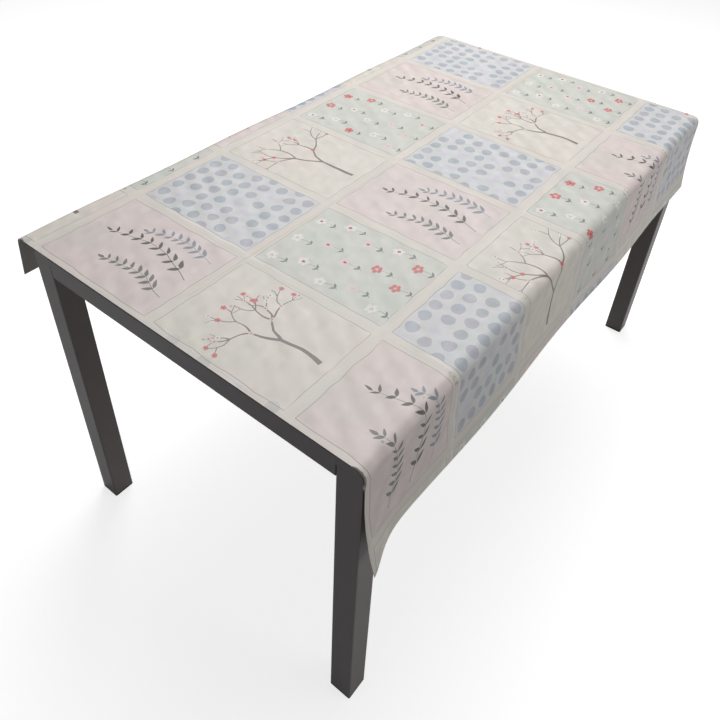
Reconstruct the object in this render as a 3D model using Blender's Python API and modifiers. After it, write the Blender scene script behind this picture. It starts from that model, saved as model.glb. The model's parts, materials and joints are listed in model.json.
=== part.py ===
"""A knock-down dining table with a flush square-tube frame, and the coated tablecloth draped over it.

Metres, +Z up. +X runs along the table, -Y is the near long side, and the origin is on the floor
under the middle of the whole object, cloth included. Left is -X and right is +X.
"""

import math

import bmesh
import bpy
from mathutils import Matrix, Vector

# Table, outside to outside
LENGTH = 1.440
WIDTH = 0.790
FRAME_HEIGHT = 0.7485
GAP = 0.0003  # between pieces that touch

# Square-tube legs, their caps and feet
LEG = 0.050
LEG_WALL = 0.002
LEG_CORNER = 0.003
CAP_SKIRT = 0.002  # plain height of a cap below its rounded edge
CAP_PLUG = 0.005
SOLE = 0.004
FOOT_PLUG = 0.020

# Rails: hollow profiles with a ledge inside that carries the panel
RAIL_HEIGHT = 0.047
RAIL_DEPTH = 0.030
RAIL_WALL = 0.002
RAIL_CORNER = 0.0015
LONG_EDGE = 0.018  # radius of the long sides' top edge
SHORT_EDGE = 0.003  # radius of the short ends' top edge
LEDGE_WIDTH = 0.010
LEDGE_THICKNESS = 0.002
PANEL_THICKNESS = 0.012

# Bent corner brackets, which the legs are bolted to
BRACKET_PLATE = 0.003
BRACKET_FLANGE = 0.035
BRACKET_MARGIN = 0.002  # to the ledge above it
BRACKET_HEIGHT = 0.029
INSERT_SIDE = 0.020
INSERT_HEIGHT = 0.016
BOLT = 0.008
BOLT_HEAD = 0.013  # across the flats
BOLT_HEAD_HEIGHT = 0.0053
BOLT_PAST_INSERT = 0.003
BOLT_BELOW_TOP = 0.0345

# Pan-head screws
SCREW = 0.005
SCREW_HEAD = 0.009
SCREW_HEAD_HEIGHT = 0.003
SCREW_LENGTH = 0.010

# Cross rails under the panel, each on two angle clips
CROSS_RAILS = 2
CROSS_WIDTH = 0.030
CROSS_HEIGHT = 0.020
CROSS_WALL = 0.0015
CLIP_PLATE = 0.0025
CLIP_REACH = 0.032
CLIP_WIDTH = 0.024

# Tablecloth: the profile across the table, from the near hem to the far hem
CLOTH = 0.0012
NEAR_DROP = 0.217  # frame top to hem
NEAR_FLARE = 0.019  # the hem's distance from the table's side
FAR_DROP = 0.103
FAR_OUT = 0.072
FAR_FOLD = 0.016  # radius of the stiff far fold, which stands off the table's edge
FAR_TILT = math.radians(16)  # of the far flap from the vertical

BOTTOM = FRAME_HEIGHT - RAIL_HEIGHT
LEDGE_TOP = FRAME_HEIGHT - PANEL_THICKNESS - GAP
LEDGE_BOTTOM = LEDGE_TOP - LEDGE_THICKNESS
# The cloth reaches further out on the far side, so the table stands off the origin.
MIDDLE = Vector((0, (NEAR_FLARE - FAR_OUT) / 2, 0))

PARTS = bpy.data.collections.new("table_with_tablecloth")
CUTTERS = bpy.data.collections.new("cutters")
Z_TO_X = Matrix.Rotation(math.radians(90), 4, "Y") @ Matrix.Rotation(math.radians(90), 4, "Z")
Z_TO_Y = Matrix.Rotation(math.radians(-90), 4, "X")


def clear_scene():
    for obj in list(bpy.data.objects):
        bpy.data.objects.remove(obj)
    bpy.context.scene.collection.children.link(PARTS)
    bpy.context.scene.collection.children.link(CUTTERS)


def material(name, colour, roughness, metallic=0.0):
    made = bpy.data.materials.new(name)
    made.use_nodes = True
    shader = made.node_tree.nodes["Principled BSDF"]
    shader.inputs["Base Color"].default_value = (*colour, 1)
    shader.inputs["Roughness"].default_value = roughness
    shader.inputs["Metallic"].default_value = metallic
    return made


def add(name, mesh, place, finish=None):
    """A node in the table's own frame, whose middle stands at MIDDLE."""
    obj = bpy.data.objects.new(name, mesh)
    obj.matrix_world = Matrix.Translation(MIDDLE) @ place
    if finish:
        mesh.materials.append(finish)
        PARTS.objects.link(obj)
    else:
        CUTTERS.objects.link(obj)
        obj.hide_render = True
        obj.display_type = "WIRE"
    return obj


def combine(obj, cutter, operation="DIFFERENCE"):
    step = obj.modifiers.new(cutter.name, "BOOLEAN")
    step.object = cutter
    step.operation = operation


def rounded(corners, steps=6):
    """An outline from (x, y, radius) corners, each rounded by an arc that touches both its sides."""
    points = []
    for i, (x, y, radius) in enumerate(corners):
        here = Vector((x, y))
        if not radius:
            points.append(here)
            continue
        back = (Vector(corners[i - 1][:2]) - here).normalized()
        ahead = (Vector(corners[(i + 1) % len(corners)][:2]) - here).normalized()
        half = back.angle(ahead) / 2
        centre = here + (back + ahead).normalized() * radius / math.sin(half)
        start = here + back * radius / math.tan(half) - centre
        sweep = start.angle_signed(here + ahead * radius / math.tan(half) - centre)
        for k in range(steps + 1):
            points.append(centre + Matrix.Rotation(-sweep * k / steps, 2) @ start)
    return points


def box_outline(x0, y0, x1, y1, radius=0.0):
    return rounded([(x0, y0, radius), (x1, y0, radius), (x1, y1, radius), (x0, y1, radius)])


def thickened(path, thickness):
    """A closed outline: the path, and back along the path moved by the thickness to its left, mitred."""
    moved = []
    for i, here in enumerate(path):
        into = (here - path[i - 1]).normalized() if i else None
        out = (path[i + 1] - here).normalized() if i + 1 < len(path) else None
        into, out = into or out, out or into
        normal = Vector((-into.y - out.y, into.x + out.x)).normalized()
        moved.append(here + normal * thickness / normal.dot(Vector((-out.y, out.x))))
    return path + moved[::-1]


def prism(name, outlines, length, place, finish=None):
    """Flat outlines, the later ones as holes, extruded evenly to both sides along the local Z axis."""
    flat = bpy.data.curves.new(name, "CURVE")
    flat.dimensions = "2D"
    flat.fill_mode = "BOTH"
    flat.extrude = length / 2
    for outline in outlines:
        spline = flat.splines.new("POLY")
        spline.points.add(len(outline) - 1)
        spline.use_cyclic_u = True
        for point, at in zip(spline.points, outline):
            point.co = (*at, 0, 1)
    guide = bpy.data.objects.new(name + "_outline", flat)
    CUTTERS.objects.link(guide)
    graph = bpy.context.evaluated_depsgraph_get()
    mesh = bpy.data.meshes.new_from_object(guide.evaluated_get(graph))
    bpy.data.objects.remove(guide)
    work = bmesh.new()
    work.from_mesh(mesh)
    bmesh.ops.remove_doubles(work, verts=work.verts, dist=1e-6)
    bmesh.ops.recalc_face_normals(work, faces=work.faces)
    work.to_mesh(mesh)
    work.free()
    return add(name, mesh, place, finish)


def cylinder(name, radius, start, end, place, finish=None, sides=24):
    """A round or many-sided bar between two points of the place's frame."""
    start, end = Vector(start), Vector(end)
    mesh = bpy.data.meshes.new(name)
    work = bmesh.new()
    bmesh.ops.create_cone(
        work, cap_ends=True, segments=sides, radius1=radius, radius2=radius, depth=(end - start).length
    )
    work.to_mesh(mesh)
    work.free()
    turn = (end - start).to_track_quat("Z", "Y").to_matrix().to_4x4()
    return add(name, mesh, place @ Matrix.Translation((start + end) / 2) @ turn, finish)


def drill(obj, radius, start, end, place):
    combine(obj, cylinder(obj.name + "_drill", radius, start, end, place))


def screw(name, seat, inward, place, finish):
    """A pan-head screw, turned from its profile, its head on the seat and its tip pointing inward."""
    head, shank = SCREW_HEAD / 2, SCREW / 2
    profile = [
        (0, SCREW_HEAD_HEIGHT),
        (head * 0.6, SCREW_HEAD_HEIGHT * 0.9),
        (head, SCREW_HEAD_HEIGHT * 0.3),
        (head, GAP),
        (shank, GAP),
        (shank, shank / 2 - SCREW_LENGTH),
        (shank / 2, -SCREW_LENGTH),
        (0, -SCREW_LENGTH),
    ]
    mesh = bpy.data.meshes.new(name)
    mesh.from_pydata([(x, 0, z) for x, z in profile], [(i, i + 1) for i in range(len(profile) - 1)], [])
    turn = (-Vector(inward)).to_track_quat("Z", "Y").to_matrix().to_4x4()
    obj = add(name, mesh, place @ Matrix.Translation(Vector(seat)) @ turn, finish)
    turned = obj.modifiers.new("turned", "SCREW")
    turned.steps = turned.render_steps = 16
    turned.use_merge_vertices = True
    turned.merge_threshold = 1e-5
    return obj


def corner_places():
    """(name, x side, y side, place): in each place the outer corner is the origin, and the leg is on +X and +Y."""
    turns = {(-1, -1): 0, (1, -1): 90, (1, 1): 180, (-1, 1): 270}
    for (x, y), degrees in turns.items():
        name = f"{'near' if y < 0 else 'far'}_{'left' if x < 0 else 'right'}"
        move = Matrix.Translation((x * LENGTH / 2, y * WIDTH / 2, 0))
        yield name, x, y, move @ Matrix.Rotation(math.radians(degrees), 4, "Z")


def half_turn(side):
    """The place of a piece drawn on the near or left side, or of its twin on the other side."""
    return Matrix.Rotation(0 if side < 0 else math.pi, 4, "Z")


def leg(name, place, finish):
    base = SOLE + GAP
    top = FRAME_HEIGHT - LONG_EDGE - CAP_SKIRT - GAP
    wall = LEG_WALL
    outer = box_outline(0, 0, LEG, LEG, LEG_CORNER)
    inner = box_outline(wall, wall, LEG - wall, LEG - wall, LEG_CORNER - wall)
    middle = Matrix.Translation((0, 0, (base + top) / 2))
    obj = prism(f"leg_{name}", [outer, inner], top - base, place @ middle, finish)
    height = FRAME_HEIGHT - BOLT_BELOW_TOP
    drill(obj, BOLT / 2 + GAP, (LEG / 2, LEG / 2, height), (LEG * 1.2, LEG * 1.2, height), place)


def plug_outline():
    inset = LEG_WALL + GAP
    return box_outline(inset, inset, LEG - inset, LEG - inset, LEG_CORNER - LEG_WALL)


def foot(name, place, finish):
    sole = prism(
        f"foot_{name}",
        [box_outline(0, 0, LEG, LEG, LEG_CORNER)],
        SOLE,
        place @ Matrix.Translation((0, 0, SOLE / 2)),
        finish,
    )
    length = SOLE / 2 + FOOT_PLUG
    middle = place @ Matrix.Translation((0, 0, SOLE + FOOT_PLUG - length / 2))
    combine(sole, prism(f"foot_{name}_plug", [plug_outline()], length, middle), "UNION")


def cap(name, x_side, y_side, place, finish):
    """Closes a leg at the top, with the same rounded edge as the long rail beside it."""
    low = FRAME_HEIGHT - LONG_EDGE - CAP_SKIRT
    profile = rounded(
        [(0, low, 0), (0, FRAME_HEIGHT, LONG_EDGE), (LEG, FRAME_HEIGHT, 0), (LEG, low, 0)], steps=10
    )
    across = Matrix.Translation((x_side * (LENGTH - LEG) / 2, 0, 0)) @ half_turn(y_side)
    across @= Matrix.Translation((0, -WIDTH / 2, 0)) @ Z_TO_X
    obj = prism(f"cap_{name}", [profile], LEG, across, finish)
    length = CAP_PLUG + LONG_EDGE / 2
    middle = place @ Matrix.Translation((0, 0, low - CAP_PLUG + length / 2))
    combine(obj, prism(f"cap_{name}_plug", [plug_outline()], length, middle), "UNION")


def rail_outlines(edge):
    """A rail's section: its outside, with the ledge, and its hollow. x is the depth from the outer face."""
    wall, corner, deep = RAIL_WALL, RAIL_CORNER, RAIL_DEPTH
    outside = rounded(
        [
            (0, BOTTOM, corner),
            (0, FRAME_HEIGHT, edge),
            (deep, FRAME_HEIGHT, corner),
            (deep, LEDGE_TOP, 0),
            (deep + LEDGE_WIDTH, LEDGE_TOP, 0),
            (deep + LEDGE_WIDTH, LEDGE_BOTTOM, 0),
            (deep, LEDGE_BOTTOM, 0),
            (deep, BOTTOM, corner),
        ],
        steps=10,
    )
    hollow = rounded(
        [
            (wall, BOTTOM + wall, 0),
            (wall, FRAME_HEIGHT - wall, max(edge - wall, wall / 4)),
            (deep - wall, FRAME_HEIGHT - wall, 0),
            (deep - wall, BOTTOM + wall, 0),
        ],
        steps=10,
    )
    return [outside, hollow]


def bracket_reach():
    """How far the diagonal web's foot on a rail lies from the outer corner: the web just clears the leg."""
    return 2 * LEG + 2 * GAP - RAIL_DEPTH


def bracket_screw_at():
    """(along a rail from the outer corner, height) of a bracket's screw."""
    return bracket_reach() + BRACKET_FLANGE * 0.6, LEDGE_BOTTOM - BRACKET_MARGIN - BRACKET_HEIGHT / 2


def cross_rail_places():
    """x of each cross rail, evenly spaced."""
    return [LENGTH * ((i + 1) / (CROSS_RAILS + 1) - 0.5) for i in range(CROSS_RAILS)]


def clip_screw_height():
    """Half-way up a clip's upright plate, under the ledge."""
    return (LEDGE_BOTTOM + LEDGE_TOP - CROSS_HEIGHT) / 2 - GAP


def screw_hole(obj, at, inward, place):
    """A clearance hole for a screw, through the wall or plate at that point."""
    at, step = Vector(at), Vector(inward).normalized() * SCREW
    drill(obj, SCREW / 2 + GAP, at - step, at + step, place)


def long_rail(name, side, finish):
    length = LENGTH - 2 * (LEG + GAP)
    place = half_turn(side) @ Matrix.Translation((0, -WIDTH / 2, 0))
    obj = prism(f"long_rail_{name}", rail_outlines(LONG_EDGE), length, place @ Z_TO_X, finish)
    along, height = bracket_screw_at()
    for x in (along - LENGTH / 2, LENGTH / 2 - along):
        screw_hole(obj, (x, RAIL_DEPTH, height), (0, 1, 0), place)
    for x in cross_rail_places():
        screw_hole(obj, (x, RAIL_DEPTH, clip_screw_height()), (0, 1, 0), place)


def short_rail(name, side, finish):
    length = WIDTH - 2 * (LEG + GAP)
    place = half_turn(side) @ Matrix.Translation((-LENGTH / 2, 0, 0)) @ Matrix.Rotation(math.pi / -2, 4, "Z")
    obj = prism(f"short_rail_{name}", rail_outlines(SHORT_EDGE), length, place @ Z_TO_X, finish)
    along, height = bracket_screw_at()
    for x in (along - WIDTH / 2, WIDTH / 2 - along):
        screw_hole(obj, (x, RAIL_DEPTH, height), (0, 1, 0), place)


def panel(finish):
    """The tabletop, notched round the legs, lying on the ledges flush with the rails."""
    x, y = LENGTH / 2 - RAIL_DEPTH - GAP, WIDTH / 2 - RAIL_DEPTH - GAP
    notch = LEG - RAIL_DEPTH
    quarter = [(x, y - notch), (x - notch, y - notch), (x - notch, y)]
    outline = []
    for sx, sy, step in ((1, 1, 1), (-1, 1, -1), (-1, -1, 1), (1, -1, -1)):
        outline += [Vector((sx * px, sy * py)) for px, py in quarter[::step]]
    middle = Matrix.Translation((0, 0, FRAME_HEIGHT - PANEL_THICKNESS / 2))
    prism("tabletop_panel", [outline], PANEL_THICKNESS, middle, finish)


def bracket(name, place, finish):
    """A bent plate across a corner: two flanges on the rails' inner faces and a diagonal web by the leg."""
    near, foot_at = RAIL_DEPTH + GAP, bracket_reach()
    path = [
        Vector((foot_at + BRACKET_FLANGE, near)),
        Vector((foot_at, near)),
        Vector((near, foot_at)),
        Vector((near, foot_at + BRACKET_FLANGE)),
    ]
    high = LEDGE_BOTTOM - BRACKET_MARGIN
    middle = place @ Matrix.Translation((0, 0, high - BRACKET_HEIGHT / 2))
    outline = thickened(path[::-1], BRACKET_PLATE)
    obj = prism(f"corner_bracket_{name}", [outline], BRACKET_HEIGHT, middle, finish)
    height = FRAME_HEIGHT - BOLT_BELOW_TOP
    drill(obj, BOLT / 2 + GAP, (LEG * 0.9, LEG * 0.9, height), (LEG * 1.2, LEG * 1.2, height), place)
    along, screw_height = bracket_screw_at()
    screw_hole(obj, (along, near, screw_height), (0, 1, 0), place)
    screw_hole(obj, (near, along, screw_height), (1, 0, 0), place)


def bracket_screws(name, place, finish):
    along, height = bracket_screw_at()
    seat = RAIL_DEPTH + GAP + BRACKET_PLATE
    screw(f"bracket_screw_{name}_a", (along, seat, height), (0, -1, 0), place, finish)
    screw(f"bracket_screw_{name}_b", (seat, along, height), (-1, 0, 0), place, finish)


def leg_insert(name, place, finish):
    """A threaded wedge in the leg's inner corner, which the leg bolt pulls on."""
    corner, side = LEG - LEG_WALL - GAP, INSERT_SIDE
    outline = rounded([(corner, corner, 0.001), (corner - side, corner, 0), (corner, corner - side, 0)])
    height = FRAME_HEIGHT - BOLT_BELOW_TOP
    middle = place @ Matrix.Translation((0, 0, height))
    obj = prism(f"leg_insert_{name}", [outline], INSERT_HEIGHT, middle, finish)
    drill(obj, BOLT / 2 + GAP, (LEG / 2, LEG / 2, height), (LEG, LEG, height), place)


def leg_bolt(name, place, finish):
    """A hexagon bolt through the bracket's web and the leg's corner into the insert."""
    height = FRAME_HEIGHT - BOLT_BELOW_TOP
    inward = Vector((-1, -1, 0)).normalized()
    web = Vector(((RAIL_DEPTH + bracket_reach() + GAP) / 2,) * 2 + (height,))
    seat = web - inward * (BRACKET_PLATE + GAP)
    insert_back = Vector((LEG - LEG_WALL - GAP - INSERT_SIDE / 2,) * 2 + (height,))
    tip = insert_back + inward * BOLT_PAST_INSERT
    across_corners = BOLT_HEAD / math.sqrt(3)
    end = seat - inward * BOLT_HEAD_HEIGHT
    obj = cylinder(f"leg_bolt_{name}", across_corners, seat, end, place, finish, sides=6)
    shank_start = seat - inward * BOLT_HEAD_HEIGHT / 2
    combine(obj, cylinder(obj.name + "_shank", BOLT / 2, shank_start, tip, place), "UNION")


def cross_rail(number, x, finish):
    """A flat tube across the table that carries the middle of the panel."""
    length = WIDTH - 2 * (RAIL_DEPTH + LEDGE_WIDTH + GAP)
    wide, tall, wall = CROSS_WIDTH / 2, CROSS_HEIGHT / 2, CROSS_WALL
    outer = box_outline(-wide, -tall, wide, tall, wall)
    inner = box_outline(wall - wide, wall - tall, wide - wall, tall - wall)
    place = Matrix.Translation((x, 0, LEDGE_TOP - tall)) @ Z_TO_Y
    obj = prism(f"cross_rail_{number}", [outer, inner], length, place, finish)
    for side in (-1, 1):
        screw_hole(obj, clip_foot_screw(), (0, 0, 1), clip_place(x, side))


def clip_place(x, side):
    """The place of a clip drawn at the middle of the near side, moved to x and to its own side."""
    return half_turn(side) @ Matrix.Translation((-side * x, 0, 0))


def clip_foot_screw():
    """Where the screw through a clip's foot enters the cross rail above it."""
    return Vector((0, -WIDTH / 2 + RAIL_DEPTH + CLIP_REACH * 0.7, LEDGE_TOP - CROSS_HEIGHT))


def clip(name, x, side, finish):
    """An angle that hangs a cross rail's end on a long rail, with its two screws."""
    place = clip_place(x, side)
    rail_face = -WIDTH / 2 + RAIL_DEPTH + GAP
    under = LEDGE_TOP - CROSS_HEIGHT - GAP - CLIP_PLATE
    path = [
        Vector((rail_face + CLIP_REACH, under)),
        Vector((rail_face, under)),
        Vector((rail_face, LEDGE_BOTTOM - GAP)),
    ]
    outline = thickened(path[::-1], CLIP_PLATE)
    obj = prism(f"clip_{name}", [outline], CLIP_WIDTH, place @ Z_TO_X, finish)
    foot_at = clip_foot_screw()
    foot_at.z = under
    wall_at = Vector((0, rail_face, clip_screw_height()))
    screw_hole(obj, foot_at, (0, 0, 1), place)
    screw_hole(obj, wall_at, (0, 1, 0), place)
    screw(f"clip_screw_{name}_a", foot_at, (0, 0, 1), place, finish)
    screw(f"clip_screw_{name}_b", wall_at + Vector((0, CLIP_PLATE, 0)), (0, -1, 0), place, finish)


def cloth_path():
    """The cloth's underside across the table, as (y, z), from the near hem over the top to the far hem.

    The near drop swings out by the square of its depth. The far flap is straight, and its fold is an arc."""
    side, top = WIDTH / 2 + GAP, FRAME_HEIGHT + GAP
    near, steps = LONG_EDGE + GAP, 10
    drop = top - near - (FRAME_HEIGHT - NEAR_DROP)
    flare = NEAR_FLARE - CLOTH - GAP
    path = []
    for i in range(steps):
        share = 1 - i / steps
        path.append(Vector((-side - flare * share**2, top - near - drop * share)))
    for i in range(steps + 1):
        angle = math.pi - math.pi / 2 * i / steps
        path.append(Vector((near - side + near * math.cos(angle), top - near + near * math.sin(angle))))
    hem = Vector((WIDTH / 2 + FAR_OUT - CLOTH, FRAME_HEIGHT - FAR_DROP))
    turn = math.pi / 2 - FAR_TILT
    fold_low = top - FAR_FOLD * (1 - math.cos(turn))
    fold_out = hem.x - (fold_low - hem.y) * math.tan(FAR_TILT)
    centre = Vector((fold_out - FAR_FOLD * math.sin(turn), top - FAR_FOLD))
    for i in range(steps + 1):
        angle = math.pi / 2 - turn * i / steps
        path.append(centre + FAR_FOLD * Vector((math.cos(angle), math.sin(angle))))
    path.append(hem)
    return path


def tablecloth(finish):
    prism("tablecloth", [thickened(cloth_path(), CLOTH)], LENGTH, Z_TO_X, finish)


def build():
    clear_scene()
    frame = material("frame_coating", (0.068, 0.062, 0.061), 0.45)
    zinc = material("zinc_plate", (0.55, 0.56, 0.57), 0.35, 1.0)
    plastic = material("foot_plastic", (0.03, 0.03, 0.03), 0.6)
    board = material("panel_board", (0.62, 0.59, 0.55), 0.5)
    cloth = material("coated_cloth", (0.66, 0.64, 0.6), 0.4)
    for name, x_side, y_side, place in corner_places():
        leg(name, place, frame)
        foot(name, place, plastic)
        cap(name, x_side, y_side, place, frame)
        bracket(name, place, zinc)
        bracket_screws(name, place, zinc)
        leg_insert(name, place, zinc)
        leg_bolt(name, place, zinc)
    for name, side in (("near", -1), ("far", 1)):
        long_rail(name, side, frame)
    for name, side in (("left", -1), ("right", 1)):
        short_rail(name, side, frame)
    panel(board)
    for number, x in enumerate(cross_rail_places(), 1):
        cross_rail(number, x, frame)
        for name, side in (("near", -1), ("far", 1)):
            clip(f"{number}_{name}", x, side, zinc)
    tablecloth(cloth)


build()
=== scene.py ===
"""Looks of the laid table: the printed coated cloth, its woven back, and the finishes of the table under it.

Metres, +Z up. The print is drawn in millimetres of cloth: x from the left end of the table, y down the
cloth from its far side to its near side, so a tree in the print grows towards -y.
"""

import json
import math

import bpy
import numpy as np
from mathutils import Matrix, Vector
from mathutils.geometry import delaunay_2d_cdt


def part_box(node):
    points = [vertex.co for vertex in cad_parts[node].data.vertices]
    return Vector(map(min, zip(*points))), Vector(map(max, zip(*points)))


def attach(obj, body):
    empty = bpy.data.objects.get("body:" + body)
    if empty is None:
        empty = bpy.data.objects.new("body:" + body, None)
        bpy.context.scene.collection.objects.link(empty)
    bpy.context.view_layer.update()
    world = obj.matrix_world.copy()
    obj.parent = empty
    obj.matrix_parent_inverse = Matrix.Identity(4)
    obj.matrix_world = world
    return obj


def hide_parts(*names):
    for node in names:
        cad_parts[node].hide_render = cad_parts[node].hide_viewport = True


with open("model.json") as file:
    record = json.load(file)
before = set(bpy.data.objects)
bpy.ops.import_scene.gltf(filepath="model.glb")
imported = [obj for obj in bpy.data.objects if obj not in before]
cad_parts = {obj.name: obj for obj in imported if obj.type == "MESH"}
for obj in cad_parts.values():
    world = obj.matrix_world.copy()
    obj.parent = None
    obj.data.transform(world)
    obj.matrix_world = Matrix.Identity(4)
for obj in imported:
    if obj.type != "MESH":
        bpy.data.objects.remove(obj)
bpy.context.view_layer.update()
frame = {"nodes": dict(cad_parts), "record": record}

# ---------------------------------------------------------------- sizes, from the table under the cloth

LEFT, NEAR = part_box("leg_near_left")[0][:2]
RIGHT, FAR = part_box("leg_far_right")[1][:2]
FRAME_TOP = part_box("short_rail_left")[1][2]
LENGTH, WIDTH = RIGHT - LEFT, FAR - NEAR

COAT = 0.00025  # the printed coating
BACK = 0.00035  # the woven back under it
FACE = FRAME_TOP + 0.0015  # height of the printed face on the top
SIDE_ROOM = 0.0014  # between the table's side and the printed face of the hanging cloth

NEAR_BEND_START = 0.0205  # inside the table's near side
NEAR_BEND = 0.042  # length of cloth in the near bend
NEAR_CUT = 0.2055  # length of cloth past the line of the near side
FAR_CUT = 0.150  # length of cloth past the line of the far side
CORNER_DIP = 0.030  # the near left corner of the cut reaches lower

PRINT_REPEAT = (960.0, 640.0)  # along the table and across it
PRINT_LEFT = 0.0  # print x of the cloth's left cut edge
PRINT_FAR = 0.0  # print y of the table's far side
PANEL_COLUMNS, PANEL_ROWS = 4, 2  # plant panels in one repeat
BAND = 24.0  # width of the pale bands between the panels
PANEL_MARGIN = 20.0  # from a panel's lower edge to the foot of what grows in it
SPOT_COLUMNS, SPOT_ROWS = 6, 8
FLOWER_COLUMNS, FLOWER_ROWS = 3, 5

# ---------------------------------------------------------------- camera, light and floor


def place_camera():
    """Stands at the near left corner, above the table, and looks down along it."""
    data = bpy.data.cameras.new("camera")
    data.sensor_width = 36.0
    data.lens = 36.6
    data.shift_x, data.shift_y = -0.018, -0.139
    eye = Vector((-1.222, -0.745 + (NEAR + FAR) / 2, 1.609))
    aim = Vector((-0.0716, 0.0715 + (NEAR + FAR) / 2, 0.5))
    turn = (aim - eye).to_track_quat("-Z", "Y").to_matrix().to_4x4()
    camera = bpy.data.objects.new("camera", data)
    camera.matrix_world = Matrix.Translation(eye) @ turn @ Matrix.Rotation(0.0601, 4, "Z")
    bpy.context.scene.collection.objects.link(camera)
    bpy.context.scene.camera = camera


place_camera()


def area_light(name, place, aim, size, power, colour):
    """A soft square light."""
    data = bpy.data.lights.new(name, "AREA")
    data.shape = "SQUARE"
    data.size, data.energy, data.color = size, power, colour
    light = bpy.data.objects.new(name, data)
    turn = (Vector(aim) - Vector(place)).to_track_quat("-Z", "Y").to_matrix().to_4x4()
    light.matrix_world = Matrix.Translation(place) @ turn
    bpy.context.scene.collection.objects.link(light)


area_light("overhead", (1.2, 0.75, 3.2), (0.12, 0.0, 0.6), 2.6, 91, (1.0, 0.992, 0.99))
area_light("front_fill", (1.2, -3.1, 1.05), (0.1, -0.3, 0.35), 2.2, 27, (1.0, 0.985, 0.97))
bpy.context.scene.view_settings.view_transform = "Standard"

world = bpy.data.worlds.new("studio")
world.use_nodes = True
world.node_tree.nodes["Background"].inputs["Color"].default_value = (0.96, 0.98, 1.0, 1)
world.node_tree.nodes["Background"].inputs["Strength"].default_value = 0.15
bpy.context.scene.world = world

# ---------------------------------------------------------------- node building


class Recipe:
    """A node tree with short calls for adding and linking nodes."""

    def __init__(self, tree):
        self.tree = tree

    def node(self, kind, **settings):
        made = self.tree.nodes.new(kind)
        for name, value in settings.items():
            setattr(made, name, value)
        return made

    def feed(self, source, target):
        """Links a socket, or sets a plain value."""
        if isinstance(source, bpy.types.NodeSocket):
            self.tree.links.new(source, target)
        else:
            target.default_value = source

    def math(self, operation, first, second=0.0, clamp=False):
        made = self.node("ShaderNodeMath", operation=operation, use_clamp=clamp)
        self.feed(first, made.inputs[0])
        self.feed(second, made.inputs[1])
        return made.outputs[0]

    def mix(self, share, first, second, blend="MIX"):
        made = self.node("ShaderNodeMix", data_type="RGBA", blend_type=blend)
        self.feed(share, made.inputs[0])
        self.feed(first, made.inputs[6])
        self.feed(second, made.inputs[7])
        return made.outputs[2]

    def noise(self, vector, scale, detail=3.0, roughness=0.5):
        made = self.node("ShaderNodeTexNoise")
        self.feed(vector, made.inputs["Vector"])
        made.inputs["Scale"].default_value = scale
        made.inputs["Detail"].default_value = detail
        made.inputs["Roughness"].default_value = roughness
        return made.outputs["Fac"]

    def remap(self, value, low, high, to_low, to_high):
        made = self.node("ShaderNodeMapRange")
        for socket, given in zip(made.inputs, (value, low, high, to_low, to_high)):
            self.feed(given, socket)
        return made.outputs[0]


def group(name, inputs, outputs):
    """A new shader node group with named sockets, and its recipe."""
    tree = bpy.data.node_groups.new(name, "ShaderNodeTree")
    for label, kind, value in inputs:
        socket = tree.interface.new_socket(name=label, in_out="INPUT", socket_type=kind)
        if value is not None:
            socket.default_value = value
    for label, kind in outputs:
        tree.interface.new_socket(name=label, in_out="OUTPUT", socket_type=kind)
    recipe = Recipe(tree)
    return recipe, recipe.node("NodeGroupInput").outputs, recipe.node("NodeGroupOutput").inputs


def material(name, **fixed):
    """A material whose shader has these plain values, with its recipe and its shader."""
    made = bpy.data.materials.new(name)
    made.use_nodes = True
    shader = made.node_tree.nodes["Principled BSDF"]
    for label, value in fixed.items():
        shader.inputs[label.replace("_", " ")].default_value = value
    return made, Recipe(made.node_tree), shader


def use(recipe, tree, **given):
    """Places a node group in a recipe, with its inputs set or linked."""
    made = recipe.node("ShaderNodeGroup", node_tree=tree)
    for label, value in given.items():
        recipe.feed(value, made.inputs[label])
    return made.outputs


def bump(recipe, shader, height, strength, distance):
    made = recipe.node("ShaderNodeBump")
    made.inputs["Strength"].default_value = strength
    made.inputs["Distance"].default_value = distance
    recipe.feed(height, made.inputs["Height"])
    recipe.feed(made.outputs["Normal"], shader.inputs["Normal"])


VECTOR, FLOAT, COLOR = "NodeSocketVector", "NodeSocketFloat", "NodeSocketColor"


def mottle_group():
    """Colour that drifts a little in lightness, coarse and fine, and roughness that drifts with it."""
    r, put, out = group(
        "mottle",
        [("place", VECTOR, None), ("colour", COLOR, None), ("roughness", FLOAT, 0.5),
         ("amount", FLOAT, 0.1)],
        [("colour", COLOR), ("roughness", FLOAT)],
    )
    coarse = r.noise(put["place"], 9.0, 4.0)
    fine = r.noise(put["place"], 160.0, 3.0, 0.6)
    both = r.math("ADD", r.math("MULTIPLY", coarse, 0.65), r.math("MULTIPLY", fine, 0.35))
    drift = r.math("MULTIPLY", r.math("SUBTRACT", both, 0.5), put["amount"])
    shade = r.math("ADD", r.math("MULTIPLY", drift, 4.0), 1.0)
    scaled = r.node("ShaderNodeVectorMath", operation="SCALE")
    r.feed(put["colour"], scaled.inputs[0])
    r.feed(shade, scaled.inputs["Scale"])
    r.feed(scaled.outputs[0], out["colour"])
    r.feed(r.math("ADD", put["roughness"], drift, clamp=True), out["roughness"])
    return r.tree


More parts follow.
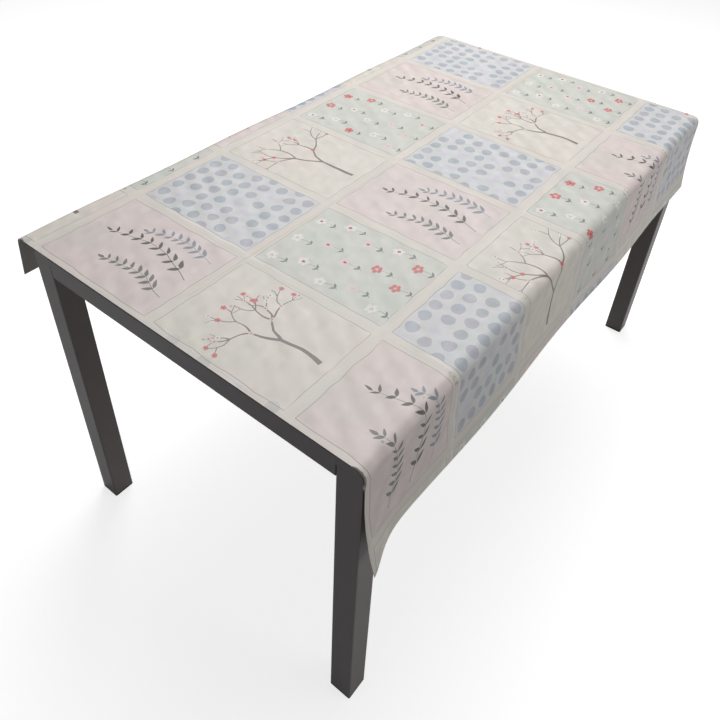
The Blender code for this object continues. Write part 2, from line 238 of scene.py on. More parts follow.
def weave_group():
    """A plain weave of two sets of threads: a height and a mask of the gaps, from thread waves that cross."""
    r, put, out = group(
        "weave",
        [("place", VECTOR, None), ("threads_per_m", FLOAT, 1000.0)],
        [("height", FLOAT), ("gaps", FLOAT)],
    )
    split = r.node("ShaderNodeSeparateXYZ")
    r.feed(put["place"], split.inputs[0])
    waves = []
    for axis in (0, 1):
        turns = r.math("MULTIPLY", split.outputs[axis], put["threads_per_m"])
        waves.append(r.math("SINE", r.math("MULTIPLY", turns, math.tau)))
    over = r.math("MULTIPLY", waves[0], waves[1])
    height = r.math("ADD", r.math("MULTIPLY", over, 0.5), 0.5)
    r.feed(height, out["height"])
    low = r.math("MULTIPLY", r.math("ABSOLUTE", waves[0]), r.math("ABSOLUTE", waves[1]))
    r.feed(r.remap(low, 0.0, 0.25, 1.0, 0.0), out["gaps"])
    return r.tree


MOTTLE, WEAVE = mottle_group(), weave_group()


def object_place(recipe):
    return recipe.node("ShaderNodeTexCoord").outputs["Object"]


def grained(r, shader, place, colour, roughness, amount):
    """Feeds the shader a mottled colour and the roughness that drifts with it."""
    grain = use(r, MOTTLE, place=place, colour=colour, roughness=roughness, amount=amount)
    r.feed(grain["colour"], shader.inputs["Base Color"])
    r.feed(grain["roughness"], shader.inputs["Roughness"])


def cloth_place(recipe):
    return recipe.node("ShaderNodeUVMap", uv_map="cloth").outputs["UV"]


def printed_coating():
    """Satin coating over the print: the ink from the mesh, a watercolour grain, and an embossed linen."""
    made, r, shader = material("printed_coating", Specular_IOR_Level=0.42)
    ink = r.node("ShaderNodeAttribute", attribute_name="ink").outputs["Color"]
    place = cloth_place(r)
    grained(r, shader, place, ink, 0.43, 0.045)
    linen = use(r, WEAVE, place=place, threads_per_m=620.0)
    bump(r, shader, linen["height"], 0.16, 0.00012)
    return made


def woven_back():
    """The cloth's bare cotton back, greyish off-white, with its threads and painted shade in the gaps between
    them.
    """
    made, r, shader = material("woven_back", Sheen_Weight=0.15, Specular_IOR_Level=0.25)
    place = cloth_place(r)
    threads = use(r, WEAVE, place=place, threads_per_m=900.0)
    # darker in the gaps between the threads: painted shade in the crevices of the weave
    colour = r.mix(threads["gaps"], (0.53, 0.51, 0.48, 1), (0.38, 0.37, 0.35, 1))
    grained(r, shader, place, colour, 0.85, 0.06)
    bump(r, shader, threads["height"], 0.4, 0.0002)
    return made


def powder_coat():
    """Warm anthracite powder coat with a fine orange peel."""
    made, r, shader = material("powder_coat", Specular_IOR_Level=0.5)
    place = object_place(r)
    grained(r, shader, place, (0.162, 0.142, 0.140, 1), 0.32, 0.07)
    bump(r, shader, r.noise(place, 1400.0, 2.0), 0.25, 0.00015)
    return made


def zinc_plate():
    """Bright zinc with a rolled grain along the sheet and a faint milky bloom."""
    made, r, shader = material("zinc_plate", Metallic=1.0)
    place = object_place(r)
    grain = use(r, MOTTLE, place=place, colour=(0.58, 0.59, 0.60, 1), roughness=0.34, amount=0.16)
    stretch = r.node("ShaderNodeMapping")
    stretch.inputs["Scale"].default_value = (1.0, 1.0, 14.0)
    r.feed(place, stretch.inputs["Vector"])
    rolled = r.noise(stretch.outputs[0], 220.0, 4.0)
    r.feed(grain["colour"], shader.inputs["Base Color"])
    r.feed(r.remap(rolled, 0.3, 0.7, 0.26, 0.46), shader.inputs["Roughness"])
    bump(r, shader, rolled, 0.12, 0.0001)
    return made


def moulded_plastic():
    """Near-black moulded plastic with a spark-eroded texture."""
    made, r, shader = material("moulded_plastic")
    place = object_place(r)
    grained(r, shader, place, (0.028, 0.028, 0.029, 1), 0.55, 0.1)
    bump(r, shader, r.noise(place, 2600.0, 2.0), 0.3, 0.0001)
    return made


def faced_board():
    """The panel's pale melamine face, with a long faint grain."""
    made, r, shader = material("faced_board")
    place = object_place(r)
    stretch = r.node("ShaderNodeMapping")
    stretch.inputs["Scale"].default_value = (1.0, 16.0, 16.0)
    r.feed(place, stretch.inputs["Vector"])
    streak = r.noise(stretch.outputs[0], 11.0, 6.0, 0.6)
    colour = r.mix(r.remap(streak, 0.35, 0.65, 0.0, 1.0), (0.60, 0.57, 0.53, 1), (0.52, 0.49, 0.45, 1))
    grained(r, shader, place, colour, 0.5, 0.04)
    bump(r, shader, streak, 0.08, 0.0002)
    return made


def finish_table():
    """Gives every carried-over piece of the table its finish."""
    finishes = {
        "frame_coating": powder_coat(),
        "zinc_plate": zinc_plate(),
        "foot_plastic": moulded_plastic(),
        "panel_board": faced_board(),
    }
    slots = {part["node"]: part["material_slot"] for part in frame["record"]["subparts"]}
    for name, node in frame["nodes"].items():
        if slots[name] in finishes:
            node.data.materials.clear()
            node.data.materials.append(finishes[slots[name]])


def lay_floor():
    """A plain pale floor, a little brighter to the eye than the light that it throws back."""
    mesh = bpy.data.meshes.new("floor")
    reach = 14.0
    corners = [(x * reach, y * reach, -0.0004) for x, y in ((-1, -1), (1, -1), (1, 1), (-1, 1))]
    mesh.from_pydata(corners, [], [(0, 1, 2, 3)])
    floor = bpy.data.objects.new("floor", mesh)
    bpy.context.scene.collection.objects.link(floor)
    made, r, shader = material("floor", Roughness=0.9, Specular_IOR_Level=0.1)
    shader.inputs["Base Color"].default_value = (0.6, 0.6, 0.6, 1)
    shader.inputs["Emission Color"].default_value = (1, 1, 1, 1)
    seen = r.node("ShaderNodeLightPath").outputs["Is Camera Ray"]
    mirrored = r.node("ShaderNodeLightPath").outputs["Is Glossy Ray"]
    glow = r.math("ADD", r.math("MULTIPLY", seen, 0.75), r.math("MULTIPLY", mirrored, 0.1))
    r.feed(glow, shader.inputs["Emission Strength"])
    mesh.materials.append(made)


# ---------------------------------------------------------------- the shape of the laid cloth

NODES, WEIGHTS = np.polynomial.legendre.leggauss(24)


def soft_step(t):
    """0 to 1 with level ends: 3 t squared less 2 t cubed."""
    t = np.clip(t, 0.0, 1.0)
    return t * t * (3.0 - 2.0 * t)


def along_angle(length, angle):
    """(across, down) reached after a length of cloth whose slope is angle(length): the integrals of its
    cosine and sine, by Gauss's rule."""
    half = 0.5 * length[..., None]
    slopes = angle(half * (NODES + 1.0))
    return (half * np.cos(slopes)) @ WEIGHTS, (half * np.sin(slopes)) @ WEIGHTS


def near_flare(x):
    """How far the near hem stands out from the table's side: slow waves along it, a curled left corner and
    a slight swell near the right end."""
    wave = 0.0105 + 0.0036 * np.sin(math.tau * (x - 0.22) / 0.62)
    return wave + 0.0125 * np.exp(-((x / 0.05) ** 2)) + 0.004 * np.exp(-(((x - 1.35) / 0.12) ** 2))


def near_length(x):
    """Cloth past the line of the near side: an even cut, which dips at the left corner."""
    return NEAR_CUT + CORNER_DIP * np.exp(-((x / 0.042) ** 1.3))


def near_angle(length, x):
    """Slope of the near part: a soft step to upright through the bend, then a growing lean outwards."""
    hang = NEAR_CUT + NEAR_BEND_START - NEAR_BEND
    lean = 2.2 * (near_flare(x) + 0.001) / hang
    past = np.clip((length - NEAR_BEND) / hang, 0.0, 1.2)
    return math.pi / 2 * soft_step(length / NEAR_BEND) - lean * past**1.2


def far_angle(length, x):
    """Slope of the far flap: level past the edge, a stiff bend, then straight; the bend is longer and
    laxer towards the right end."""
    share = soft_step(x / LENGTH)
    level = 0.037 - 0.030 * share + 0.002 * np.sin(math.tau * x / 0.47)
    bend = 0.022 + 0.070 * share
    turn = np.radians(80.0 - 8.0 * share + 2.0 * np.sin(math.tau * x / 0.71))
    return turn * np.clip((length - level) / bend, 0.0, 1.0)


def drape(x, s):
    """Place of the printed face over print coordinates: x along the table from its left end, and s metres
    of cloth from the line of its far side towards the near one."""
    x, s = np.broadcast_arrays(x, s)
    near_start = WIDTH - NEAR_BEND_START - SIDE_ROOM + 0.0005
    flat = np.clip(s, 0.0, near_start)
    near = np.clip(s - near_start, 0.0, None)
    far = np.clip(-s, 0.0, None)
    near_out, near_down = along_angle(near, lambda length: near_angle(length, x[..., None]))
    far_out, far_down = along_angle(far, lambda length: far_angle(length, x[..., None]))
    ripple = 0.00018 * np.sin(9.0 * x + 3.0 * s) * np.sin(7.0 * s - 2.0 * x)
    calm = soft_step(s / 0.1) * soft_step((near_start - s) / 0.1)
    place = np.empty(x.shape + (3,))
    place[..., 0] = LEFT + x
    place[..., 1] = FAR - flat - near_out + far_out
    place[..., 2] = FACE - near_down - far_down + ripple * calm
    return place


def drape_normals(x, s):
    """Outward normals: the cross product of the drape's two central differences."""
    step = 1e-4
    across = drape(x + step, s) - drape(x - step, s)
    down = drape(x, s - step) - drape(x, s + step)
    normals = np.cross(across, down)
    return normals / np.linalg.norm(normals, axis=-1, keepdims=True)


def to_cloth(points):
    """Print millimetres to cloth metres."""
    return (points[..., 0] - PRINT_LEFT) / 1000.0, (points[..., 1] - PRINT_FAR) / 1000.0


NEAR_BEND_Y = PRINT_FAR + 1000.0 * (WIDTH - NEAR_BEND_START)
FAR_EDGE_Y = PRINT_FAR - 1000.0 * FAR_CUT
FINE = 3.5  # millimetres between points in a bend
COARSE = 26.0  # and elsewhere
ROW_Y = np.array([FAR_EDGE_Y - 40, PRINT_FAR - 2, NEAR_BEND_Y - 4, NEAR_BEND_Y + 1000 * NEAR_BEND + 4,
    1100.0])
ROW_COUNT = np.concatenate([[0.0], np.cumsum(np.diff(ROW_Y) / np.array([FINE, COARSE, FINE, 9.0]))])


def refine(points, closed=True):
    """Adds points along an outline's sides, close together where the cloth bends."""
    ends = np.roll(points, -1, axis=0) if closed else points[1:]
    starts = points if closed else points[:-1]
    rows_a, rows_b = np.interp(starts[:, 1], ROW_Y, ROW_COUNT), np.interp(ends[:, 1], ROW_Y, ROW_COUNT)
    steps = np.maximum(np.abs(rows_b - rows_a), np.abs(ends[:, 0] - starts[:, 0]) / COARSE)
    steps = np.maximum(np.ceil(steps - 0.2), 1).astype(int)
    if steps.max() == 1:
        return points
    which = np.repeat(np.arange(len(steps)), steps)
    share = np.concatenate([np.arange(n) / n for n in steps])
    return starts[which] + (ends - starts)[which] * share[:, None]


# ---------------------------------------------------------------- drawing the print


def ink(red, green, blue):
    """A printed colour, from its everyday 0 to 255 values, as light."""
    value = np.array([red, green, blue]) / 255.0
    return np.where(value <= 0.04045, value / 12.92, ((value + 0.055) / 1.055) ** 2.4)


GROUND = ink(220, 214, 209)
CREAM = ink(221, 216, 205)
BLUSH = ink(221, 207, 204)
PALE_GREEN = ink(203, 208, 199)
PALE_BLUE = ink(208, 211, 215)
CHALK = ink(229, 226, 221)
SAND = ink(208, 198, 184)
OUTLINE = ink(123, 115, 112)
BARK = ink(138, 126, 124)
LEAF_GREY = ink(112, 117, 113)
DARK_LEAF = ink(74, 79, 75)
BLUE_LEAF = ink(133, 144, 156)
RED = ink(184, 66, 72)
SOFT_RED = ink(186, 84, 92)
CORAL = ink(208, 120, 119)
SPOT_VIOLET = ink(177, 177, 187)
SPOT_BLUE = ink(169, 177, 183)
LILAC = ink(208, 208, 216)
SPOT_SLATE = ink(170, 178, 188)
BAND_INKS = (CREAM, CHALK, PALE_GREEN, BLUSH, SAND)
SPOT_INKS = (SPOT_VIOLET, SPOT_BLUE, LILAC, SPOT_SLATE)


def pick(rng, *inks):
    """One of these inks at random."""
    return inks[rng.integers(len(inks))]


class Artwork:
    """The print as flat shapes, the later ones over the earlier ones. Each has an ink, how much it covers
    and how much its ink drifts. A shape drawn inside a window shows only there."""

    def __init__(self):
        self.outlines, self.inks, self.covers, self.drifts, self.windows = [], [], [], [], []
        self.window = -1

    def fill(self, points, colour, cover=1.0, drift=0.03):
        points = np.asarray(points, dtype=float)
        x, y = (points - points[0]).T
        turns_left = np.dot(x, np.roll(y, -1)) > np.dot(y, np.roll(x, -1))
        self.outlines.append(points if turns_left else points[::-1])
        self.inks.append(colour)
        self.covers.append(cover)
        self.drifts.append(drift)
        self.windows.append(self.window)

    def open_window(self, points):
        self.window = -1
        self.fill(points, GROUND, cover=0.0)
        self.window = len(self.outlines) - 1

    def close_window(self):
        self.window = -1

    def stroke(self, points, width, colour, tip=None, cover=1.0):
        """A line of quads along a path; its width runs evenly from width to tip."""
        points = np.asarray(points, dtype=float)
        along = np.gradient(points, axis=0)
        along /= np.linalg.norm(along, axis=1, keepdims=True) + 1e-9
        half = np.linspace(width, width if tip is None else tip, len(points))[:, None] / 2
        side = np.stack([-along[:, 1], along[:, 0]], axis=1) * half
        left, right = points + side, points - side
        quads = np.stack([left[:-1], right[:-1], right[1:], left[1:]], axis=1)
        spokes = quads - quads.mean(axis=1, keepdims=True)
        order = np.argsort(np.arctan2(spokes[..., 1], spokes[..., 0]), axis=1)
        for quad in np.take_along_axis(quads, order[..., None], axis=1):
            self.fill(quad, colour, cover, 0.02)

    def curve(self, points, steps, width, colour, tip=None, cover=1.0):
        """A stroke along the smooth curve through a few points."""
        self.stroke(smooth(points, steps), width, colour, tip, cover)


def smooth(points, steps=5, closed=False):
    """A curve through a few points: Catmull and Rom's cubic between each two."""
    p = np.asarray(points, dtype=float)
    if closed:
        p = np.vstack([p[-1], p, p[0], p[1]])
    else:
        p = np.vstack([2 * p[0] - p[1], p, 2 * p[-1] - p[-2]])
    t = (np.arange(steps) / steps)[:, None, None]
    a, b, c, d = p[:-3], p[1:-2], p[2:-1], p[3:]
    curve = 0.5 * (2 * b + (c - a) * t + (2 * a - 5 * b + 4 * c - d) * t**2 + (3 * b - a - 3 * c + d) * t**3)
    curve = curve.transpose(1, 0, 2).reshape(-1, 2)
    return curve if closed else np.vstack([curve, p[-2]])


def turned(points, x, y, degrees=0.0, scale=1.0):
    """Moves an outline drawn about the origin."""
    angle = math.radians(degrees)
    turn = np.array([[math.cos(angle), math.sin(angle)], [-math.sin(angle), math.cos(angle)]])
    return np.asarray(points, dtype=float) @ turn * scale + (x, y)


def blot(x, y, rx, ry, seed, rough=0.07, count=18):
    """An uneven oval: an ellipse whose radius drifts by a few seeded harmonics."""
    rng = np.random.default_rng(abs(int(seed)))
    turn = np.linspace(0, math.tau, count, endpoint=False)
    swell = 1 + rough * sum(
        rng.uniform(-1, 1) * np.cos(k * turn + rng.uniform(0, math.tau)) / math.sqrt(k) for k in (2, 3, 5)
    )
    return np.stack([x + rx * swell * np.cos(turn), y + ry * swell * np.sin(turn)], axis=1)


def box(x0, y0, x1, y1):
    return np.array([(x0, y0), (x1, y0), (x1, y1), (x0, y1)], dtype=float)


def leaf(x, y, length, width, degrees):
    """A leaf from its stalk, pointing at the angle from +x towards +y: its width is a half sine."""
    t = np.array([0, 0.18, 0.42, 0.7, 1.0])
    w = width / 2 * np.array([0, 0.75, 1.0, 0.7, 0])
    outline = np.concatenate([np.stack([t * length, w], 1), np.stack([t * length, -w], 1)[-2:0:-1]])
    return turned(outline, x, y, degrees)


def sprig(art, start, end, pairs, length, width, colour, stem=1.2, bend=0.12, bare=0.15, spread=48):
    """A stem with pairs of leaves that lean towards its tip."""
    start, end = np.asarray(start, float), np.asarray(end, float)
    along = end - start
    side = np.array([-along[1], along[0]])
    path = smooth([start, (start + end) / 2 + side * bend, end], 4)
    art.stroke(path, stem, colour, stem * 0.5)
    heading = math.degrees(math.atan2(along[1], along[0]))
    for share in np.linspace(bare, 0.95, pairs):
        at = start + along * share + side * bend * 4 * share * (1 - share)
        size = 1 - 0.35 * share
        for lean in (-spread, spread):
            art.fill(leaf(*at, length * size, width * size, heading + lean), colour, 0.9, 0.06)
    art.fill(leaf(*end, length * 0.7, width * 0.7, heading), colour, 0.9)


def branch(art, rng, at, degrees, length, width, depth, colour, tips, spread=34):
    """A forking branch: each fork splits in two or three shorter, thinner ones."""
    at = np.asarray(at, float)
    angle = math.radians(degrees)
    step = np.array([math.cos(angle), math.sin(angle)]) * length
    bow = np.array([-step[1], step[0]]) * rng.uniform(-0.12, 0.12)
    end = at + step
    art.curve([at, at + step / 2 + bow, end], 3, width, colour, width * 0.68)
    tips.append(end)
    if depth:
        for side in rng.choice([-1, 1]) * np.array([1, -1] if rng.random() < 0.75 else [1, -1, 0.2]):
            lean = side * rng.uniform(0.6, 1.2) * spread
            size = rng.uniform(0.6, 0.82)
            branch(art, rng, end, degrees + lean, length * size, width * 0.68, depth - 1, colour, tips,
                spread)


def flower(art, rng, x, y, size, petal, middle):
    """Five round petals about a middle."""
    first = rng.uniform(0, 72)
    for turn in range(5):
        angle = math.radians(first + 72 * turn)
        at = (x + size * math.cos(angle), y + size * math.sin(angle))
        art.fill(blot(*at, size * 0.7, size * 0.6, turn, 0.1, 7), petal)
    art.fill(blot(x, y, size * 0.45, size * 0.45, 3, 0.1, 6), middle)


def outline_of(art, points, width, colour, cover=1.0):
    """Draws along a closed outline."""
    art.stroke(np.vstack([points, points[:1]]), width, colour, cover=cover)


def brushed_band(art, rng, x0, y0, x1, y1, colours, lines=5):
    """A pale band with long dry brush marks along it."""
    art.fill(box(x0, y0, x1, y1), colours[0], 0.45, 0.04)
    level = (x1 - x0) > (y1 - y0)
    for _ in range(lines):
        share, a, b = rng.uniform(0.05, 0.95), *np.sort(rng.uniform(0, 1, 2))
        if level:
            y = y0 + (y1 - y0) * share
            art.stroke([(x0 + (x1 - x0) * a, y), (x0 + (x1 - x0) * b, y + rng.uniform(-3, 3))],
                       rng.uniform(1.5, 7), pick(rng, *colours), cover=0.4)
        else:
            x = x0 + (x1 - x0) * share
            art.stroke([(x, y0 + (y1 - y0) * a), (x + rng.uniform(-3, 3), y0 + (y1 - y0) * b)],
                       rng.uniform(1.5, 7), pick(rng, *colours), cover=0.4)


def smooth_box(x0, y0, x1, y1, step=40.0):
    """A box outline with points along its sides, for the hand's wobble to act on."""
    across, down = np.arange(x0, x1, step), np.arange(y0, y1, step)
    sides = [(x, y0) for x in across], [(x1, y) for y in down]
    back = [(x, y1) for x in across[::-1] + x1 - across[-1]], [(x0, y) for y in down[::-1] + y1 - down[-1]]
    return np.array(sides[0] + sides[1] + back[0] + back[1], dtype=float)


def sprig_panel(art, rng, x0, y0, x1, y1):
    """Three leafy sprigs side by side, the middle one the tallest."""
    foot = y1 - PANEL_MARGIN
    for share, height, colour in ((0.22, 0.55, LEAF_GREY), (0.5, 0.75, DARK_LEAF), (0.78, 0.55, BLUE_LEAF)):
        x = x0 + (x1 - x0) * share
        tip = (x + rng.uniform(-10, 10), foot - (y1 - y0) * height)
        sprig(art, (x, foot), tip, 8, 26, 9, colour)


def spot_panel(art, rng, x0, y0, x1, y1):
    """Soft round spots in staggered rows."""
    for row in range(SPOT_ROWS):
        for column in range(SPOT_COLUMNS + 1):
            x = x0 + (x1 - x0) * (column + 0.5 * (row % 2)) / SPOT_COLUMNS
            y = y0 + (y1 - y0) * (row + 0.5) / SPOT_ROWS
            art.fill(blot(x, y, 13, 13, rng.integers(1e6), 0.06, 14), pick(rng, *SPOT_INKS), 0.8, 0.1)


def branch_panel(art, rng, x0, y0, x1, y1):
    """A forking branch with small flowers at its tips."""
    tips = []
    branch(art, rng, ((x0 + x1) / 2, y1 - PANEL_MARGIN), -90, 84, 8, 4, BARK, tips)
    for x, y in tips[1::2]:
        flower(art, rng, x, y, 3.4, pick(rng, BLUSH, CHALK, CORAL), SOFT_RED)


def flower_panel(art, rng, x0, y0, x1, y1):
    """Flowers on short leafy stalks in staggered rows."""
    for row in range(FLOWER_ROWS):
        for column in range(FLOWER_COLUMNS):
            x = x0 + (x1 - x0) * (column + 0.35 + 0.3 * (row % 2)) / FLOWER_COLUMNS
            y = y0 + (y1 - y0) * (row + 0.35) / FLOWER_ROWS
            sprig(art, (x, y + 38), (x, y + 8), 2, 13, 5, LEAF_GREY)
            flower(art, rng, x, y, 7.5, pick(rng, CORAL, BLUSH, CHALK), pick(rng, RED, SAND))


PANELS = ((sprig_panel, BLUSH), (spot_panel, PALE_BLUE), (branch_panel, CREAM), (flower_panel, PALE_GREEN))


def draw_bands(art, rng, wide, high):
    """The pale bands between the panels, on the lines of a plain grid."""
    for column in range(PANEL_COLUMNS):
        x = column * wide
        brushed_band(art, rng, x - BAND / 2, 0, x + BAND / 2, PRINT_REPEAT[1], BAND_INKS, 9)
    for row in range(PANEL_ROWS):
        y = row * high
        brushed_band(art, rng, 0, y - BAND / 2, PRINT_REPEAT[0], y + BAND / 2, BAND_INKS, 11)


def draw_repeat():
    """One repeat of the print: a plain grid of plant panels, each row starting two kinds further on."""
    art, rng = Artwork(), np.random.default_rng(7)
    wide, high = PRINT_REPEAT[0] / PANEL_COLUMNS, PRINT_REPEAT[1] / PANEL_ROWS
    draw_bands(art, rng, wide, high)
    for row in range(PANEL_ROWS):
        for column in range(PANEL_COLUMNS):
            corners = (column * wide + BAND / 2, row * high + BAND / 2,
                (column + 1) * wide - BAND / 2, (row + 1) * high - BAND / 2)
            picture, ground = PANELS[(column + 2 * row) % len(PANELS)]
            art.open_window(box(*corners))
            art.fill(box(*corners), ground, 0.7, 0.08)
            picture(art, rng, *corners)
            art.close_window()
            outline_of(art, smooth_box(*corners), 1.4, OUTLINE, 0.5)
    return art


# ---------------------------------------------------------------- printing it on the cloth


def drift_field(points, seed, waves, count=14):
    """Slow random drift over the print: a sum of seeded cosines with wavelengths between two limits."""
    rng = np.random.default_rng(seed)
    turn = rng.uniform(0, math.tau, count)
    pitch = math.tau / np.exp(rng.uniform(math.log(waves[0]), math.log(waves[1]), count))
    phase = points @ (np.stack([np.cos(turn), np.sin(turn)]) * pitch) + rng.uniform(0, math.tau, count)
    return np.cos(phase).sum(axis=1) / math.sqrt(count)


def hand_wobble(points):
    """Small offsets that make ruled lines look drawn by hand: two drift fields, one along each axis."""
    return np.stack([1.3 * drift_field(points, 5, (24, 120)), 1.3 * drift_field(points, 6, (24, 120))],
        axis=1)


def ground_ink(points):
    """The unprinted look of the cloth: the ground's ink with slow drifts to blush and green."""
    cell = points % np.array(PRINT_REPEAT)
    warm = drift_field(cell, 1, (90, 420))[:, None]
    light = drift_field(cell, 2, (50, 300))[:, None]
    tint = np.where(warm > 0, BLUSH, PALE_GREEN)
    share = np.clip(np.abs(warm) * 0.5, 0, 0.8)
    colours = GROUND + (tint - GROUND) * share
    return colours * (1 + 0.03 * light)


def cloth_outline():
    """The cut edge in print millimetres, the near hem with its dip, point by point."""
    across = np.linspace(0, LENGTH, 121)
    near = PRINT_FAR + 1000 * (WIDTH + near_length(across))
    right, left = PRINT_LEFT + 1000 * LENGTH, PRINT_LEFT
    far = np.stack([np.linspace(left, right, 121), np.full(121, FAR_EDGE_Y)], axis=1)
    hem = np.stack([PRINT_LEFT + 1000 * across, near], axis=1)[::-1]
    return np.vstack([far, hem])


def grid_points(outline):
    """Points between the shapes, in rows that close up in the bends."""
    rows = np.interp(np.arange(0.5, ROW_COUNT[-1], 1.0), ROW_COUNT, ROW_Y)
    rows = rows[(rows > FAR_EDGE_Y + 1) & (rows < outline[:, 1].max() - 1)]
    rows = np.concatenate([rows, (rows[1:] + rows[:-1])[np.diff(rows) > 12] / 2])
    columns = np.arange(PRINT_LEFT + 6, PRINT_LEFT + 1000 * LENGTH - 3, 12.0)
    x, y = np.meshgrid(columns, rows)
    near = PRINT_FAR + 1000 * (WIDTH + near_length((x - PRINT_LEFT) / 1000))
    return np.stack([x, y], axis=-1)[y < near - 1]


def repeated(art, outline):
    """The shapes of every repeat that reaches the cloth, with their places in the artwork's lists."""
    low, high = outline.min(axis=0), outline.max(axis=0)
    shapes, sources, windows = [], [], []
    for column in (-2, -1, 0, 1):
        for row in (-1, 0, 1, 2):
            shift = np.array(PRINT_REPEAT) * (column, row)
            copy_of = {}
            for source, points in enumerate(art.outlines):
                moved = points + shift
                if (moved.max(axis=0) < low).any() or (moved.min(axis=0) > high).any():
                    continue
                copy_of[source] = len(shapes)
                fuller = refine(moved)
                shapes.append(fuller + hand_wobble(fuller - shift))
                sources.append(source)
                windows.append(copy_of.get(art.windows[source], -1) if art.windows[source] >= 0 else -1)
    return shapes, np.array(sources), np.array(windows)


def triangulate(outline, shapes, loose):
    """Points, triangles, and for each triangle the shapes it lies in; 0 is the cloth itself."""
    faces, start, blocks = [], 0, []
    for points in [outline, *shapes]:
        faces.append(list(range(start, start + len(points))))
        blocks.append(points)
        start += len(points)
    every = np.vstack(blocks + [loose])
    verts, _, tris, _, _, inside = delaunay_2d_cdt([Vector(p) for p in every.tolist()], [], faces, 0,
        0.02, True)
    points = np.array([tuple(v) for v in verts])
    owners = np.concatenate([np.asarray(own, dtype=int) for own in inside])
    counts = np.array([len(own) for own in inside])
    return points, np.array(tris), owners, counts


def print_cloth():
    """The printed face in three strips, far, middle and near: the print's shapes cut into triangles, each
    corner with its ink."""
    art = draw_repeat()
    outline = cloth_outline()
    shapes, sources, windows = repeated(art, outline)
    points, tris, owners, counts = triangulate(outline, shapes, grid_points(outline))
    which = np.repeat(np.arange(len(tris)), counts)
    on_cloth = np.zeros(len(tris), dtype=bool)
    on_cloth[which[owners == 0]] = True
    sides = points[tris[:, 1:]] - points[tris[:, :1]]
    areas = np.abs(sides[:, 0, 0] * sides[:, 1, 1] - sides[:, 0, 1] * sides[:, 1, 0])[which] / 2
    spread = np.bincount(owners, areas, len(shapes) + 1)
    boxes = np.array([np.prod(np.ptp(points, axis=0)) for points in [outline, *shapes]])
    keep = (owners > 0) & (spread < 1.2 * boxes + 20)[owners]  # leaves out a sliver that did not close
    which, owners = which[keep], owners[keep] - 1
    within = set(zip(which.tolist(), owners.tolist()))
    window = windows[owners]
    shown = np.array([w < 0 or (t, w) in within for t, w in zip(which.tolist(), window.tolist())])
    which, owners = which[shown], owners[shown]
    order = np.lexsort((owners, which))
    which, owners = which[order], owners[order]
    first = np.searchsorted(which, which)
    rank = np.arange(len(which)) - first
    colours = ground_ink(points)[tris]
    drift = drift_field(points, 3, (16, 60))[tris][..., None]
    inks, covers, drifts = np.array(art.inks), np.array(art.covers), np.array(art.drifts)
    for level in range(rank.max() + 1):
        chosen = rank == level
        triangle, source = which[chosen], sources[owners[chosen]]
        fresh = inks[source][:, None, :] * (1 + drifts[source][:, None, None] * drift[triangle])
        share = covers[source][:, None, None]
        colours[triangle] += (fresh - colours[triangle]) * share
    tris, colours = tris[on_cloth][:, ::-1], colours[on_cloth][:, ::-1]
    x, s = to_cloth(points)
    part = np.digitize(s[tris].mean(axis=1), (0.27 * WIDTH, 0.66 * WIDTH))
    names = ("tablecloth_print_far", "tablecloth_print_middle", "tablecloth_print_near")
    return [print_strip(name, x, s, tris[part == i], colours[part == i]) for i, name in enumerate(names)]


def cloth_object(name, place, faces, x, s, soft):
    """An object whose points carry their cloth coordinates; soft says which faces shade smoothly."""
    mesh = bpy.data.meshes.new(name)
    mesh.from_pydata(place, [], faces.tolist())
    loops = np.empty(len(mesh.loops), dtype=np.int32)
    mesh.loops.foreach_get("vertex_index", loops)
    uv = mesh.uv_layers.new(name="cloth")
    uv.data.foreach_set("uv", np.stack([x, s], axis=1)[loops % x.size].ravel())
    mesh.polygons.foreach_set("use_smooth", soft)
    sheet = bpy.data.objects.new(name, mesh)
    bpy.context.scene.collection.objects.link(sheet)
    return sheet


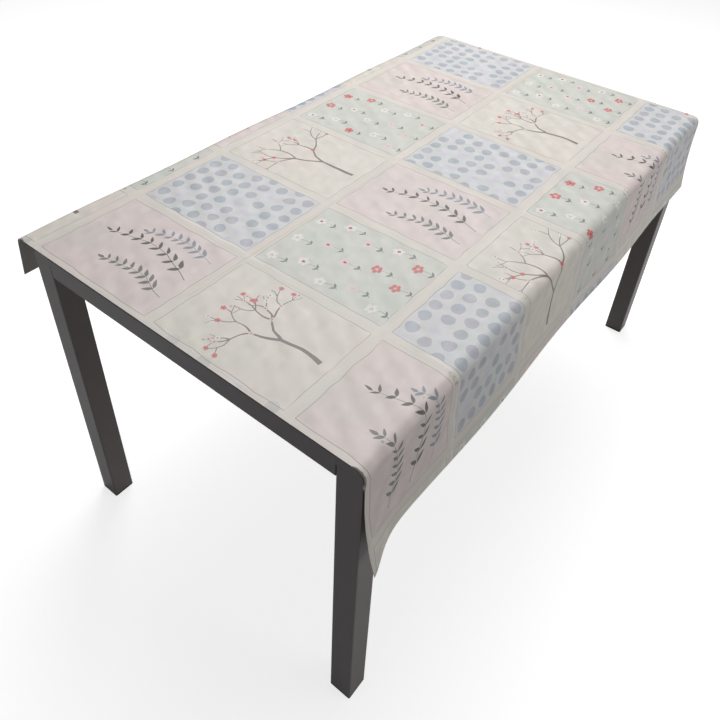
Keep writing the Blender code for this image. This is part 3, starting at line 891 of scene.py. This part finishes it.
def print_strip(name, x, s, tris, colours):
    """One strip of the printed face on the draped cloth, with its ink at each triangle's corners."""
    used, faces = np.unique(tris, return_inverse=True)
    faces = faces.reshape(-1, 3)
    x, s = x[used], s[used]
    strip = cloth_object(name, drape(x, s), faces, x, s, np.ones(len(faces), dtype=bool))
    rgba = np.ones((faces.size, 4))
    rgba[:, :3] = np.clip(colours, 0, 1).reshape(-1, 3)
    strip.data.color_attributes.new("ink", "FLOAT_COLOR", "CORNER").data.foreach_set("color", rgba.ravel())
    strip.data.normals_split_custom_set_from_vertices(drape_normals(x, s))
    return strip


def weave_back():
    """The woven back: a thin closed sheet on an even grid right under the coating."""
    rows = np.concatenate([
        np.linspace(-FAR_CUT, 0.0, 45),
        np.linspace(0.0, WIDTH - NEAR_BEND_START - 0.002, 30)[1:],
        np.linspace(0, 1, 14)[1:] * (NEAR_BEND + 0.004) + WIDTH - NEAR_BEND_START - 0.002,
    ])
    columns = np.linspace(0, LENGTH, 97)
    hang = np.linspace(0, 1, 22)[1:, None]
    x = np.broadcast_to(columns, (len(rows), len(columns)))
    s = np.broadcast_to(rows[:, None], x.shape)
    lower = rows[-1] + hang * (WIDTH + near_length(columns)[None, :] - rows[-1])
    x = np.vstack([x, np.broadcast_to(columns, lower.shape)])
    s = np.vstack([s, lower])
    index = np.arange(x.size).reshape(x.shape)
    quads = np.stack([index[:-1, :-1], index[1:, :-1], index[1:, 1:], index[:-1, 1:]],
        axis=-1).reshape(-1, 4)
    x, s = x.ravel(), s.ravel()
    rim = np.concatenate([index[0, ::-1], index[1:, 0], index[-1, 1:], index[-2:0:-1, -1]])
    following = np.roll(rim, -1)
    sides = np.stack([rim, rim + x.size, following + x.size, following], axis=-1)
    normals = drape_normals(x, s)
    face = drape(x, s) - normals * COAT
    back = face - normals * BACK
    faces = np.vstack([quads, quads[:, ::-1] + x.size, sides])
    soft = np.arange(len(faces)) < 2 * len(quads)
    return cloth_object("tablecloth_back", np.vstack([face, back]), faces, x, s, soft)


# ---------------------------------------------------------------- the scene

lay_floor()
finish_table()

printed = print_cloth()
coating = printed_coating()
for strip in printed:
    strip.data.materials.append(coating)
back = weave_back()
back.data.materials.append(woven_back())
for piece in (*printed, back):
    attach(piece, "cloth")
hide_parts("tablecloth")
